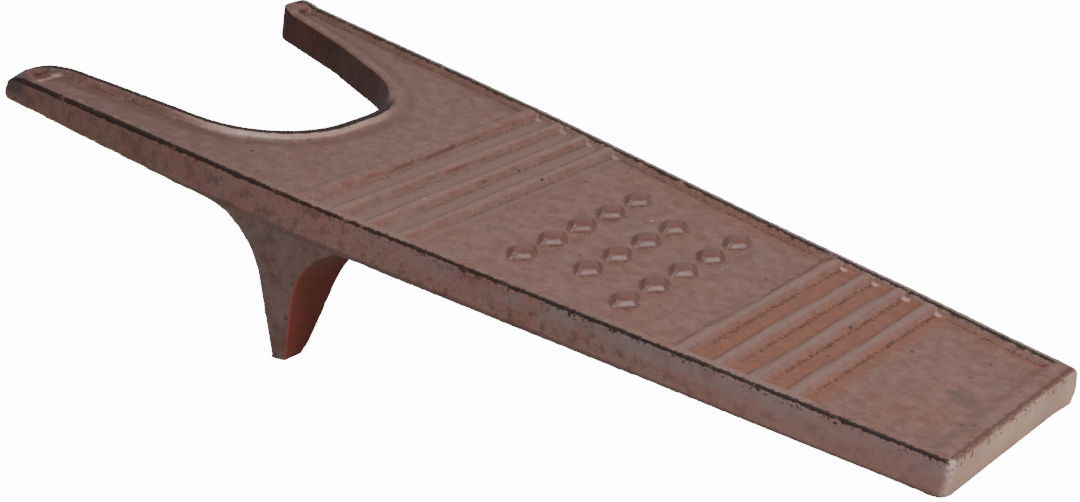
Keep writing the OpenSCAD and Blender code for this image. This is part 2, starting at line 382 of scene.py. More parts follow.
def fused_lump():
    """Board and legs fused into one lump of iron, laid level."""
    blanks = [board_blank(), leg_blank("left_leg"), leg_blank("right_leg")]
    bpy.ops.object.select_all(action="DESELECT")
    for blank in blanks:
        blank.select_set(True)
    bpy.context.view_layer.objects.active = blanks[0]
    bpy.ops.object.join()
    lump = bpy.context.object
    lump.name = lump.data.name = "casting"
    work(lump, "REMESH", mode="VOXEL", voxel_size=GRAIN, use_smooth_shade=True)
    return lump


def stud_places():
    """The middles of the studs, in staggered rows on the panel."""
    panel_from = LAST_RIDGE_AT + (RIDGES - 1) * RIDGE_PITCH + RIDGE_W
    panel_to = FIRST_RIDGE_AT - (RIDGES - 1) * RIDGE_PITCH
    found = []
    for row, count in enumerate(STUD_ROWS):
        u = (panel_from + panel_to) / 2 + (1 - row) * STUD_ROW_PITCH
        found += [(u, (i - (count - 1) / 2) * STUD_PITCH) for i in range(count)]
    return found


def eased(share):
    """0 below 0 and 1 above 1, with a soft start and end."""
    share = np.clip(share, 0, 1)
    return share * share * (3 - 2 * share)


def ridges():
    """Each ridge's side towards the tail and its width, in both groups."""
    front = [(FIRST_RIDGE_AT - i * RIDGE_PITCH, FIRST_RIDGE_W if i == 0 else RIDGE_W) for i in range(RIDGES)]
    rear = [(LAST_RIDGE_AT + i * RIDGE_PITCH, RIDGE_W) for i in range(RIDGES)]
    return front + rear


def relief_height(co, inside, notch):
    """Height of the relief at each place, from 0 in the sunk field to 1 on its crests."""
    u, w = co[:, 0], co[:, 1]
    notch_slope = NOTCH_SLOPE - STEEPER_BY * np.clip((u - STEEPER_FROM) / STEEPER_OVER, 0, 1)
    from_sides = (inside - RIM_W) / np.where(notch > 0.5, notch_slope, SIDE_SLOPE)
    from_tip = (np.where(w > 0, BOARD_L, RIGHT_TIP_AT) - RIM_END_W - u) / SIDE_SLOPE
    from_tail = (u - RIM_END_W) / TAIL_SLOPE
    height = 1 - eased(np.minimum(np.minimum(from_sides, from_tip), from_tail) + 0.35)
    sway = 0.22 * np.sin(w / 9.0 + u) + 0.12 * np.sin(w / 3.1 + 2 * u)
    for at, wide in ridges():
        off = u + sway - (at + wide / 2)
        reach = np.where(off < 0, wide / 2 + 1.0, wide / 2 + 2.4) - np.abs(off)
        height = np.maximum(height, RIDGE_H * eased(reach / np.where(off < 0, 1.9, 3.8)))
    for stud_u, stud_w in stud_places():
        share = np.abs(u - stud_u) / (STUD_W / 2) + np.abs(w - stud_w) / (STUD_L / 2)
        height = np.maximum(height, eased((1.25 - share) / 0.62))
    return height


def raise_relief(lump):
    """Sinks the field into the plate's upper side, which leaves rim, ridges and studs."""
    co = points(lump) / MM
    inside, notch = measured(co)
    depth = RELIEF_H * (1 - relief_height(co, inside, notch))
    share = np.clip((co[:, 2] - SINK_FROM) / SINK_SPAN, 0, 1)
    co[:, 2] -= np.where(inside > 1.2, depth * share, 0)
    put_points(lump, co * MM)


def soften(lump, name, chosen, repeat):
    """Wears down the chosen vertices: each round moves them towards their neighbours."""
    group = lump.vertex_groups.new(name=name)
    group.add([int(i) for i in np.nonzero(chosen)[0]], 1.0, "REPLACE")
    work(lump, "SMOOTH", factor=0.5, iterations=repeat, vertex_group=name)
    lump.vertex_groups.clear()


def roughen(lump, name, size, depth):
    """Gives the skin the unevenness that sand leaves, of that size and depth."""
    sand = bpy.data.textures.new(name, "CLOUDS")
    sand.noise_scale = size * MM
    work(lump, "DISPLACE", texture=sand, strength=depth * MM, mid_level=0.5, texture_coords="LOCAL")


def round_tips(lump):
    """Rounds both tips as seen from the side, the left one down to a blunt nose."""
    co = points(lump) / MM
    u, w, z = co.T
    tips = ((1, BOARD_L, LEFT_LIFT, LEFT_NOSE), (-1, RIGHT_TIP_AT, 0, RIGHT_NOSE))
    for side, tip_at, lift, over in tips:
        here = (w * side > PRONG_W) & (u > tip_at - TIP_REACH)
        middle = lift + TIP_UNDER_R
        above = np.clip((u - tip_at + over) / over, 0, 0.99)
        below = np.clip((u - tip_at + TIP_UNDER_R) / TIP_UNDER_R, 0, 0.99)
        share = np.where(z > middle, np.sqrt(1 - above**BLUNTNESS), np.sqrt(1 - below**2))
        z[here] = (middle + (z - middle) * share)[here]
    put_points(lump, co * MM)


def full_corner(lump):
    """Fills out the tail's right corner, which the mould left fuller than the other."""
    co = points(lump) / MM
    near_end = np.clip(1 - co[:, 0] / 9, 0, 1) ** 1.5
    near_side = np.clip(1 - (co[:, 1] + TAIL_W / 2) / 12, 0, 1) ** 1.5
    at_height = np.clip(1 - np.abs(co[:, 2] - 4.5) / 8, 0, 1) ** 0.7
    push = near_end * near_side * at_height
    co[:, 0] -= CORNER_BACK * push
    co[:, 1] -= far_fill(co[:, 0], co[:, 1]) + CORNER_OUT * push
    put_points(lump, co * MM)


def within(values, low, high):
    """Which values lie between two limits."""
    return (values > low) & (values < high)


def soften_arrises(lump, off_floor):
    """Wears each stretch of the arrises down by its own number of rounds."""
    u, w, z = points(lump).T / MM
    low_arris = within(z, -3, 1.6)
    stretches = (
        ("upper", off_floor & ~low_arris, 8),
        ("low arris", off_floor & low_arris, 3),
        ("legs", off_floor & within(z, -28, -1), 10),
        ("joint", within(z, -3.4, 0.6) & within(u, 166, 229), 14),
        ("tail", (u < 3.2) & (z > 5) & (np.abs(w) < 33), 16),
        ("corner", (u < 5) & (w < 5 - TAIL_W / 2) & (z > 2), 18),
    )
    for name, chosen, rounds in stretches:
        soften(lump, name, chosen, rounds)


def restore_tips(co):
    """Gives the tips the length back that softening took off, and lifts them a little."""
    for side, tip_at, rise in ((1, BOARD_L, LEFT_RISE), (-1, RIGHT_TIP_AT, RIGHT_RISE)):
        here = (co[:, 1] * side > PRONG_W) & (co[:, 0] > tip_at - TIP_REACH)
        short = tip_at - co[here, 0].max()
        near_tip = (co[here, 0] - tip_at + TIP_REACH) / (TIP_REACH - short)
        co[here, 0] += short * near_tip**2
        at_end = np.clip(near_tip * 1.8 - 0.8, 0, 1)
        co[here, 2] += rise * at_end * np.clip(co[here, 2] / CASTING_T, 0, 1)


def left_tip_corner(co):
    """Fills the left tip's outer corner low down and rounds it off high up."""
    from_corner = np.hypot(co[:, 0] - BOARD_L, co[:, 1] - LEFT_OUT)
    push = 0.9 * np.clip(1 - from_corner / 9, 0, 1) * np.clip(1.15 - co[:, 2] / 7, 0, 1)
    co[:, :2] += push[:, None]
    co[:, 2] -= 2.6 * np.clip(1 - from_corner / 8, 0, 1) ** 1.2 * np.clip((co[:, 2] - 4) / 5, 0, 1)


def leg_fronts(co):
    """Gives the legs' front faces back what softening took off them."""
    front = np.clip((-co[:, 2] - 1) / 4, 0, 1) * np.clip((co[:, 0] - LEG_AT) / 2, 0, 1)
    co[:, 0] += LEG_FRONT_PUSH * front


def wear(lump):
    """Rounds every arris as the foundry and years of boots left it, and adds the relief."""
    round_tips(lump)
    full_corner(lump)
    floor_row = np.array(SET_DOWN.to_3x3())[2]
    off_floor = points(lump) / MM @ floor_row - REST_WEAR > 0.6
    soften_arrises(lump, off_floor)
    co = points(lump) / MM
    restore_tips(co)
    left_tip_corner(co)
    leg_fronts(co)
    put_points(lump, co * MM)
    raise_relief(lump)
    soften(lump, "all", off_floor, 2)
    work(lump, "DISPLACE", strength=SKIN * MM, mid_level=0)
    roughen(lump, "sway", *SWAY)
    roughen(lump, "sand", *SAND)


def ridge_zone(u):
    """1 in the stretch that a group of ridges takes up, and on a little towards the tail."""
    zone = np.zeros(len(u))
    groups = (
        (LAST_RIDGE_AT, LAST_RIDGE_AT + (RIDGES - 1) * RIDGE_PITCH + RIDGE_W),
        (FIRST_RIDGE_AT - (RIDGES - 1) * RIDGE_PITCH, FIRST_RIDGE_AT + FIRST_RIDGE_W),
    )
    for low, high in groups:
        fade = np.clip((u - low + 6.5) / 4, 0, 1)
        zone = np.maximum(zone, np.where(u < high - 1, fade, 0))
    return zone


def rusty(co, inside):
    """Where rust-coloured dirt lies: between the ridges and along the right rim's foot."""
    below = np.clip((CASTING_T - 0.35 - co[:, 2]) / 0.9, 0, 1) * (co[:, 2] > 7)
    grooves = below * ridge_zone(co[:, 0]) * np.clip((inside - 2.4) / 1.2, 0, 1)
    past_rim = np.clip((inside - 2.8) / 1, 0, 1)
    foot = below * (co[:, 1] < 0) * past_rim * np.clip((8.5 - inside) / 4, 0, 1)
    prong = below * np.clip((co[:, 0] - 225) / 40, 0, 1) * past_rim
    return np.maximum(grooves, np.maximum(0.6 * foot, 0.4 * prong))


def on_studs(co):
    """1 on the grip studs."""
    found = np.zeros(len(co))
    for u, w in stud_places():
        share = np.abs(co[:, 0] - u) / (STUD_W / 2) + np.abs(co[:, 1] - w) / (STUD_L / 2)
        found = np.maximum(found, np.clip((1.35 - share) / 0.3, 0, 1))
    return found * (co[:, 2] > 7)


def hollows(lump):
    """How hollow (above 0) or sharp (below 0) the skin is at each vertex, smoothed."""
    co = points(lump) / MM
    ends = np.empty(len(lump.data.edges) * 2, np.int32)
    lump.data.edges.foreach_get("vertices", ends)
    a, b = ends.reshape(-1, 2).T
    count = np.bincount(a, minlength=len(co)) + np.bincount(b, minlength=len(co))

    def spread(values):
        total = np.bincount(a, values[b], len(co)) + np.bincount(b, values[a], len(co))
        return total / count

    normals = np.empty(len(co) * 3, np.float32)
    lump.data.vertices.foreach_get("normal", normals)
    normals = normals.reshape(-1, 3)
    pull = np.stack([spread(co[:, k]) for k in range(3)], 1) - co
    bend = (pull * normals).sum(1)
    for _ in range(4):
        bend = (bend + spread(bend)) / 2
    return bend / (GRAIN / MM) ** 2


def nearest(places, wanted):
    """For each wanted place, which of the places lies nearest."""
    find = KDTree(len(places))
    for i, co in enumerate(places):
        find.insert(co, i)
    find.balance()
    return [find.find(p)[1] for p in wanted]


def cast():
    """The finished casting, with what its material reads, still in one piece."""
    lump = fused_lump()
    wear(lump)
    fine, bend = points(lump), hollows(lump)
    work(lump, "DECIMATE", ratio=KEPT_SHARE)
    co = points(lump)
    level = co / MM
    inside, notch = measured(level)
    note(lump, "hollow", bend[nearest(fine, co)])
    note(lump, "inside", inside)
    note(lump, "notch", notch)
    note(lump, "rusty", rusty(level, inside))
    note(lump, "stud", on_studs(level))
    lump.data.transform(SET_DOWN)
    low, high = (np.array(c) for c in cad_box)
    put_points(lump, np.clip(points(lump), low, high))
    return lump


def cut_out(lump, name, keep):
    """The part of the casting on one side of each level-board plane (point, way out)."""
    piece = lump.copy()
    piece.data = lump.data.copy()
    piece.name = name
    piece.data.name = name
    bpy.context.scene.collection.objects.link(piece)
    turn = SET_DOWN.to_3x3()
    for point, out in keep:
        only(piece)
        bpy.ops.object.mode_set(mode="EDIT")
        bpy.ops.mesh.select_all(action="SELECT")
        bpy.ops.mesh.bisect(
            plane_co=SET_DOWN @ (Vector(point) * MM),
            plane_no=turn @ Vector(out),
            use_fill=True,
            clear_outer=True,
            threshold=CUT_SLACK,
        )
        bpy.ops.object.mode_set(mode="OBJECT")
    kept = np.empty(len(piece.data.vertices) * 3, np.float32)
    piece.data.attributes["skin_normal"].data.foreach_get("vector", kept)
    kept = kept.reshape(-1, 3)
    kept /= np.maximum(np.linalg.norm(kept, axis=1), 1e-9)[:, None]
    only(piece)
    bpy.ops.object.shade_smooth()
    piece.data.normals_split_custom_set_from_vertices([tuple(n) for n in kept])
    piece.data.attributes.remove(piece.data.attributes["skin_normal"])
    return piece


def part_casting(lump):
    """Cuts the casting where the frame's regions meet, keeping one skin across the cuts."""
    normals = np.empty(len(lump.data.vertices) * 3, np.float32)
    lump.data.vertices.foreach_get("normal", normals)
    layer = lump.data.attributes.new("skin_normal", "FLOAT_VECTOR", "POINT")
    layer.data.foreach_set("vector", normals)
    under = (0, 0, -BELLY - 0.7)
    root = (ROOT_AT, 0, 0)
    up, down, tailwards, forkwards = (0, 0, 1), (0, 0, -1), (-1, 0, 0), (1, 0, 0)
    leftwards, rightwards = (0, 1, 0), (0, -1, 0)
    regions = {
        "footboard": [(under, down), (root, forkwards)],
        "left_prong_skin": [(under, down), (root, tailwards), ((0, 0, 0), rightwards)],
        "right_prong_skin": [(under, down), (root, tailwards), ((0, 0, 0), leftwards)],
        "left_leg_skin": [(under, up), ((0, 0, 0), rightwards)],
        "right_leg_skin": [(under, up), ((0, 0, 0), leftwards)],
    }
    made = {name: cut_out(lump, name, keep) for name, keep in regions.items()}
    bpy.data.objects.remove(lump)
    return made


# Materials

def add(tree, kind, inputs=None, **settings):
    """A node with its settings, its inputs given as values or as sockets to link."""
    node = tree.nodes.new(kind)
    for name, value in settings.items():
        setattr(node, name, value)
    for name, value in (inputs or {}).items():
        if isinstance(value, bpy.types.NodeSocket):
            tree.links.new(value, node.inputs[name])
        else:
            node.inputs[name].default_value = value
    return node


def sums(tree, operation, *values, clamp=False):
    """A Math node on up to three values or sockets."""
    inputs = dict(enumerate(values))
    return add(tree, "ShaderNodeMath", inputs, operation=operation, use_clamp=clamp).outputs[0]


def between(tree, value, low, high, smooth=True):
    """0 up to low and 1 from high, or the other way round where high is less than low."""
    node = add(
        tree, "ShaderNodeMapRange", {"Value": value, "From Min": low, "From Max": high},
        interpolation_type="SMOOTHSTEP" if smooth else "LINEAR",
    )
    return node.outputs[0]


def ramp(tree, value, stops):
    """Colours that follow a value."""
    node = add(tree, "ShaderNodeValToRGB", {"Fac": value})
    while len(node.color_ramp.elements) < len(stops):
        node.color_ramp.elements.new(0.5)
    for element, (at, colour) in zip(node.color_ramp.elements, stops):
        element.position = at
        element.color = (*colour, 1)
    return node.outputs["Color"]


def blend(tree, share, below, above):
    """Mixes two colours."""
    node = add(tree, "ShaderNodeMix", data_type="RGBA")
    for at, value in ((0, share), (6, below), (7, above)):
        if isinstance(value, bpy.types.NodeSocket):
            tree.links.new(value, node.inputs[at])
        else:
            node.inputs[at].default_value = value if at == 0 else (*value, 1)
    return node.outputs[2]


def noise(tree, place, scale, detail, roughness, warp=0.0):
    """A cloudy pattern, as one value at each place."""
    return add(
        tree, "ShaderNodeTexNoise",
        {"Vector": place, "Scale": scale, "Detail": detail, "Roughness": roughness, "Distortion": warp},
    ).outputs["Fac"]


def new_group(name, inputs, outputs):
    """A shader node group with its sockets, and the two nodes that stand for them inside."""
    group = bpy.data.node_groups.new(name, "ShaderNodeTree")
    for socket, kind, value in inputs:
        made = group.interface.new_socket(socket, in_out="INPUT", socket_type="NodeSocket" + kind)
        if value is not None:
            made.default_value = value
    for socket, kind in outputs:
        group.interface.new_socket(socket, in_out="OUTPUT", socket_type="NodeSocket" + kind)
    return group, group.nodes.new("NodeGroupInput").outputs, group.nodes.new("NodeGroupOutput").inputs


def casting_grain_group():
    """Cast iron's skin: slow mottling, fine sand grain, pits, fine scratches, and their height."""
    group, given, out = new_group(
        "casting grain",
        [("Vector", "Vector", None)],
        [(kept, "Float") for kept in ("Mottle", "Grain", "Pits", "Scratches", "Height")],
    )
    place = given["Vector"]
    mottle = noise(group, place, 75, 7, 0.68, 0.3)
    grain = noise(group, place, 900, 4, 0.65)
    sand = noise(group, place, 340, 3, 0.6)
    cells = add(group, "ShaderNodeTexVoronoi", {"Vector": place, "Scale": 300.0, "Randomness": 1.0})
    picked = add(group, "ShaderNodeSeparateColor", {"Color": cells.outputs["Color"]}).outputs[0]
    size = between(group, picked, 0.90, 1.0, False)
    reach = sums(group, "MULTIPLY_ADD", grain, 0.5, cells.outputs["Distance"])
    pits = sums(group, "MULTIPLY", between(group, reach, 0.50, 0.34), size, clamp=True)
    drawn_out = {"Vector": place, "Rotation": (0, 0, 0.5), "Scale": (60, 900, 300)}
    long_way = add(group, "ShaderNodeMapping", drawn_out).outputs[0]
    scratches = between(group, noise(group, long_way, 1.0, 2, 0.5, 0.3), 0.70, 0.76)
    height = sums(group, "MULTIPLY_ADD", sand, 0.55, sums(group, "MULTIPLY", grain, 0.35))
    height = sums(group, "MULTIPLY_ADD", pits, -0.9, height)
    height = sums(group, "MULTIPLY_ADD", scratches, -0.25, height)
    for value, socket in zip((mottle, grain, pits, scratches, height), out):
        group.links.new(value, socket)
    return group


def worn_band_group():
    """A ragged band where a distance lies near its middle: the line that wear leaves."""
    start = (
        ("Distance", 0.0), ("Middle", 0.0), ("Half width", 0.6),
        ("Softness", 0.3), ("Raggedness", 0.6), ("Scale", 400.0),
    )
    inputs = [("Vector", "Vector", None)] + [(name, "Float", value) for name, value in start]
    group, given, out = new_group("worn band", inputs, [("Mask", "Float")])
    cloud = add(
        group, "ShaderNodeTexNoise",
        {"Vector": given["Vector"], "Scale": given["Scale"], "Detail": 3.0, "Roughness": 0.6},
    )
    drift = sums(group, "SUBTRACT", cloud.outputs["Fac"], 0.5)
    drift = sums(group, "MULTIPLY", drift, given["Raggedness"])
    moved = sums(group, "ADD", given["Distance"], drift)
    off = sums(group, "ABSOLUTE", sums(group, "SUBTRACT", moved, given["Middle"]))
    outer = sums(group, "ADD", given["Half width"], given["Softness"])
    group.links.new(between(group, off, outer, given["Half width"]), out["Mask"])
    return group


def board_place(tree):
    """The board's own u, w and z at each point, in millimetres."""
    place = add(tree, "ShaderNodeTexCoord").outputs["Object"]
    moved = SET_DOWN.inverted()
    spin = moved.to_euler()
    scaled = add(
        tree, "ShaderNodeMapping",
        {"Vector": place, "Location": moved.to_translation() / MM, "Rotation": spin, "Scale": (1 / MM,) * 3},
    )
    parts = add(tree, "ShaderNodeSeparateXYZ", {"Vector": scaled.outputs[0]}).outputs
    return place, parts[0], parts[1], parts[2]


def band(tree, group, place, distance, middle, half, soft, ragged, scale):
    """The mask of one worn band."""
    node = add(tree, "ShaderNodeGroup", node_tree=group)
    given = (place, distance, middle, half, soft, ragged, scale)
    for socket, value in zip(node.inputs, given):
        if isinstance(value, bpy.types.NodeSocket):
            tree.links.new(value, socket)
        else:
            socket.default_value = value
    return node.outputs["Mask"]


# Colours of the paint, of the iron under it and of what has settled on it, and of the light, shade and
# reflections painted onto it
RED_BROWN = (0.158, 0.053, 0.037)
DARK_BROWN = (0.055, 0.019, 0.014)
GREY_BROWN = (0.145, 0.081, 0.066)
FIELD_SHADE_BROWN = (0.110, 0.066, 0.052)
DUST_AND_SHEEN = (0.178, 0.086, 0.067)
DARK_CLOUD, LIGHT_CLOUD = (0.115, 0.042, 0.030), (0.215, 0.120, 0.098)
SMUDGE = (0.06, 0.05, 0.045)
SIDE_BROWN, SIDE_DUST, SIDE_PALE = (0.215, 0.092, 0.070), (0.200, 0.112, 0.092), (0.260, 0.140, 0.120)
BLUE_GREY_REFLECTION = (0.165, 0.130, 0.135)
TAIL_BROWN_PARTLY_LIT, TAIL_TAN_PARTLY_LIT = (0.29, 0.155, 0.11), (0.42, 0.250, 0.172)
DARK_WALL, BROWN_WALL = (0.024, 0.010, 0.008), (0.070, 0.021, 0.015)
DARK_LEG, GREY_LEG, RED_LEG = (0.060, 0.033, 0.027), (0.140, 0.080, 0.066), (0.240, 0.051, 0.030)
FRONT_DIRT, REAR_DIRT = (0.122, 0.068, 0.052), (0.160, 0.055, 0.033)
RUST = (0.245, 0.088, 0.038)
FRONT_GROUP, REAR_CREST = (0.215, 0.128, 0.108), (0.205, 0.118, 0.100)
DIRT_LINE = (0.028, 0.017, 0.012)
SHEEN = (0.46, 0.29, 0.24)
STUD_RED = (0.10, 0.026, 0.016)
FAR_RIM_GREY = (0.165, 0.140, 0.125)
BARE, BARE_AT_TAIL, BARE_AT_NOSE = (0.013, 0.008, 0.007), (0.055, 0.020, 0.013), (0.022, 0.012, 0.010)
CORNER_HIGHLIGHT = (0.50, 0.41, 0.36)

SMUDGE_AT = (15.0, 0.5)
FOOT_BEFORE = 1.3  # how far before a ridge its foot's line of dirt lies


class Coat:
    """The paint's colour, laid on coat by coat, and the masks that tell its places apart."""

    def __init__(self, tree, grain, worn):
        self.tree, self.worn = tree, worn
        self.place, self.u, self.w, self.z = board_place(tree)
        self.inside, self.notch, self.hollow, self.rusty, self.stud = (
            add(tree, "ShaderNodeAttribute", attribute_name=name).outputs["Fac"]
            for name in ("inside", "notch", "hollow", "rusty", "stud")
        )
        outward = add(tree, "ShaderNodeTexCoord").outputs["Normal"]
        facing = add(tree, "ShaderNodeSeparateXYZ", {"Vector": outward}).outputs
        self.facing_x = facing[0]
        self.cast = add(tree, "ShaderNodeGroup", {"Vector": self.place}, node_tree=grain).outputs
        self.mottle, self.fine = self.cast["Mottle"], self.cast["Grain"]
        self.specks = self.spots(1000, 3, 0.6)
        self.clouds = self.spots(260, 4, 0.6)
        self.dirt_spots = self.spots(520, 4, 0.65)
        self.top = self.between(facing[2], 0.45, 0.85)
        self.side = self.less(1.0, self.between(facing[2], 0.25, 0.7))
        self.on_side = self.less(1.0, self.notch)
        self.on_board = self.between(self.z, -2.2, -0.8)
        self.far_half = self.between(self.w, 5.0, -5.0)
        self.dirt = self.both(self.rusty, self.between(self.dirt_spots, 0.38, 0.62))
        self.in_rear = self.both(self.between(self.u, 37.5, 39.0), self.between(self.u, 77.0, 75.5))
        self.in_front = self.both(self.between(self.u, 154.0, 156.0), self.between(self.u, 190.0, 188.5))
        self.in_group = self.either(self.in_rear, self.both(self.in_front, 0.6))
        rear_foot = self.from_foot(LAST_RIDGE_AT)
        in_front_foot = self.less(self.from_foot(FIRST_RIDGE_AT), rear_foot)
        self.foot = self.scaled(in_front_foot, self.in_front, rear_foot)
        self.colour = self.ramp(
            self.mottle, (0.25, DARK_BROWN), (0.42, RED_BROWN), (0.60, GREY_BROWN), (0.80, RED_BROWN)
        )

    def both(self, *masks):
        """Where all the masks are."""
        mask = masks[0]
        for other in masks[1:]:
            mask = sums(self.tree, "MULTIPLY", mask, other)
        return mask

    def either(self, one, other):
        """Where one mask or the other is."""
        return sums(self.tree, "MAXIMUM", one, other)

    def less(self, value, other):
        """The first value less the other."""
        return sums(self.tree, "SUBTRACT", value, other)

    def scaled(self, value, times, plus):
        """The value times one number, plus another."""
        return sums(self.tree, "MULTIPLY_ADD", value, times, plus)

    def between(self, value, low, high, smooth=True):
        """As the function of the same name."""
        return between(self.tree, value, low, high, smooth)

    def spots(self, scale, detail, roughness, warp=0.0):
        """A cloudy pattern in the casting's own space."""
        return noise(self.tree, self.place, scale, detail, roughness, warp)

    def band(self, distance, middle, half, soft, ragged, scale):
        """A ragged band round one distance."""
        return band(self.tree, self.worn, self.place, distance, middle, half, soft, ragged, scale)

    def ramp(self, value, *stops):
        """Colours that follow a value."""
        return ramp(self.tree, value, stops)

    def from_foot(self, ridge_at):
        """Distance along the board to the nearest ridge's foot, in the group of that ridge."""
        return sums(self.tree, "PINGPONG", self.less(self.u, ridge_at - FOOT_BEFORE), RIDGE_PITCH / 2)

    def tint(self, above, *masks):
        """Lays a colour over what is there, by the product of the masks."""
        self.colour = blend(self.tree, self.both(*masks), self.colour, above)


def mottled_paint(coat):
    """Dust with a painted sheen on top, worn paint on the sides, and painted shade that darkens the prongs
    and the top towards the fork.
    """
    top, u = coat.top, coat.u
    # Dust and a painted sheen: the top faces are painted lighter and greyer
    dust_and_sheen = coat.ramp(coat.mottle, (0.25, RED_BROWN), (0.45, DUST_AND_SHEEN), (0.75, GREY_BROWN))
    coat.tint(dust_and_sheen, top, 0.85)
    worn_side = coat.ramp(coat.mottle, (0.28, RED_BROWN), (0.45, SIDE_BROWN), (0.72, SIDE_DUST))
    coat.tint(worn_side, coat.side, coat.on_side, coat.on_board, coat.between(u, 260.0, 170.0), 0.85)
    # Painted shade: the prongs are darker towards their tips, the left one more, and the left prong's top
    # and the top on the fork's side of the front ridges are darker
    prong_shade = coat.ramp(coat.clouds, (0.3, DARK_BROWN), (0.6, RED_BROWN))
    prong_shade_share = coat.scaled(coat.far_half, -0.35, 0.7)
    coat.tint(prong_shade, coat.between(u, 230.0, 300.0, False), prong_shade_share)
    coat.tint(DARK_BROWN, top, coat.between(coat.w, 8.0, 26.0), coat.between(u, 190.0, 250.0), 0.35)
    coat.tint(FIELD_SHADE_BROWN, top, coat.between(u, 192.0, 204.0), 0.3)


def clouds_and_speckle(coat):
    """Soft clouds and the sand's speckle, lighter and darker, and a smudge near the tail."""
    top, clouds, fine = coat.top, coat.clouds, coat.fine
    coat.tint(DARK_CLOUD, coat.between(clouds, 0.52, 0.36), 0.45)
    coat.tint(LIGHT_CLOUD, coat.between(clouds, 0.52, 0.66), top, 0.45)
    coat.tint(DARK_BROWN, coat.between(fine, 0.50, 0.38), 0.3)
    coat.tint(DARK_BROWN, coat.side, coat.between(clouds, 0.46, 0.34), 0.4)
    coat.tint(DUST_AND_SHEEN, coat.between(fine, 0.58, 0.70), top, 0.3)
    gaps = (coat.less(value, at) for value, at in zip((coat.u, coat.w), SMUDGE_AT))
    squares = [sums(coat.tree, "POWER", gap, 2.0) for gap in gaps]
    from_smudge = sums(coat.tree, "SQRT", sums(coat.tree, "ADD", *squares))
    smudged = coat.between(coat.scaled(clouds, 9.0, from_smudge), 10.5, 6.5)
    coat.tint(SMUDGE, smudged, top, 0.4)


def sides_with_painted_reflection(coat):
    """A painted reflection in blue-grey patches on the sides' upper half towards the tail, the sides paler
    towards the tail, and dark along their foot.
    """
    side, on_side, on_board, u, z = coat.side, coat.on_side, coat.on_board, coat.u, coat.z
    # Painted reflection: blue-grey patches on the upper half of the sides, towards the tail
    reflection_patches = coat.between(coat.spots(85, 5, 0.62, 0.6), 0.38, 0.56)
    upper_half = coat.between(z, 3.6, 6.6)
    coat.tint(BLUE_GREY_REFLECTION, side, on_side, upper_half, reflection_patches, coat.between(u, 200.0, 80.0), 0.65)
    coat.tint(SIDE_PALE, side, on_side, on_board, coat.between(u, 110.0, 40.0), 0.4)
    coat.tint(DARK_BROWN, side, on_side, coat.between(z, 1.2, 0.2), on_board, 0.6)


def tail_notch_and_legs(coat):
    """A lighter tan on the tail end's faces, partly painted light, a dark wall round the notch, and legs
    with a redder rear face.
    """
    # Partly painted light: the faces towards the tail are painted a lighter tan, partly for the light that
    # falls on them from the tail's side
    tailward = coat.both(coat.between(coat.facing_x, -0.55, -0.9), coat.between(coat.u, 9.0, 5.0))
    coat.tint(coat.ramp(coat.mottle, (0.3, TAIL_BROWN_PARTLY_LIT), (0.6, TAIL_TAN_PARTLY_LIT)), tailward, 0.9)
    wall = coat.ramp(coat.mottle, (0.35, DARK_WALL), (0.65, BROWN_WALL))
    coat.tint(wall, coat.side, coat.notch, 0.95)
    leg = coat.less(1.0, coat.on_board)
    leg_paint = coat.ramp(coat.clouds, (0.35, DARK_LEG), (0.65, GREY_LEG))
    coat.tint(leg_paint, leg, coat.between(coat.facing_x, -0.75, -0.45), 0.55)
    coat.tint(RED_LEG, leg, coat.between(coat.facing_x, -0.45, -0.75), 0.85)


def groove_dirt_and_shade(coat):
    """Dirt the colour of rust between the ridges, a dark line of dirt at the ridges' feet, and painted shade
    in a dark line along the hollows at the rim's foot.
    """
    top, u, in_group = coat.top, coat.u, coat.in_group
    rear = coat.between(u, 150.0, 110.0)
    coat.tint(blend(coat.tree, rear, FRONT_DIRT, REAR_DIRT), coat.rusty, 0.7)
    coat.tint(RUST, coat.dirt, coat.scaled(rear, 0.3, 0.15))
    on_crests = coat.both(top, coat.between(coat.rusty, 0.35, 0.0))
    coat.tint(REAR_CREST, coat.in_rear, on_crests, 0.55)
    coat.tint(FRONT_GROUP, coat.in_front, top, 0.35)
    foot_line = coat.both(
        coat.band(coat.foot, 0.0, 0.28, 0.5, 2.6, 620.0), coat.between(coat.specks, 0.40, 0.56),
        top, in_group, coat.between(coat.inside, 2.6, 4.0), coat.between(coat.w, 36.0, 22.0),
    )
    coat.tint(DIRT_LINE, foot_line, 0.75)
    # Painted shade: a dark ragged line in the hollows along the rim's foot, outside the ridge groups
    rim_foot_shade = coat.both(
        coat.between(coat.hollow, 0.045, 0.13), coat.between(coat.fine, 0.66, 0.42),
        top, coat.less(1.0, in_group),
    )
    along_rim = coat.either(coat.on_side, coat.between(u, 228.0, 245.0))
    coat.tint(DARK_BROWN, rim_foot_shade, along_rim, 0.8)


def shining_places(coat):
    """The far ends of the grooves, the slope round the notch and the left tip's hollow shine."""
    top, notch, u, w, inside = coat.top, coat.notch, coat.u, coat.w, coat.inside
    groove_ends = coat.both(
        coat.between(coat.foot, 2.0, 0.8), coat.in_group, coat.between(w, -5.0, -20.0), top,
        coat.band(inside, 4.6, 0.4, 0.5, 1.0, 400.0), coat.between(coat.hollow, -0.02, 0.04),
    )
    notch_slope = coat.both(
        notch, top, coat.between(w, -22.0, 2.0), coat.between(u, 262.0, 235.0),
        coat.band(inside, 3.5, 0.4, 0.9, 1.2, 200.0),
    )
    tip_end = coat.both(
        coat.band(u, BOARD_L - 8.6, 0.4, 0.9, 1.2, 300.0),
        coat.between(w, 30.0, 36.0), coat.between(inside, 3.2, 4.2),
    )
    sheen = coat.either(coat.both(notch_slope, 0.66), coat.both(tip_end, 0.5))
    sheen = coat.either(coat.both(groove_ends, 0.7), sheen)
    coat.tint(SHEEN, sheen)
    coat.tint(DARK_BROWN, notch, top, coat.band(inside, 7.0, 0.6, 1.8, 1.5, 200.0), 0.3)
    return sheen


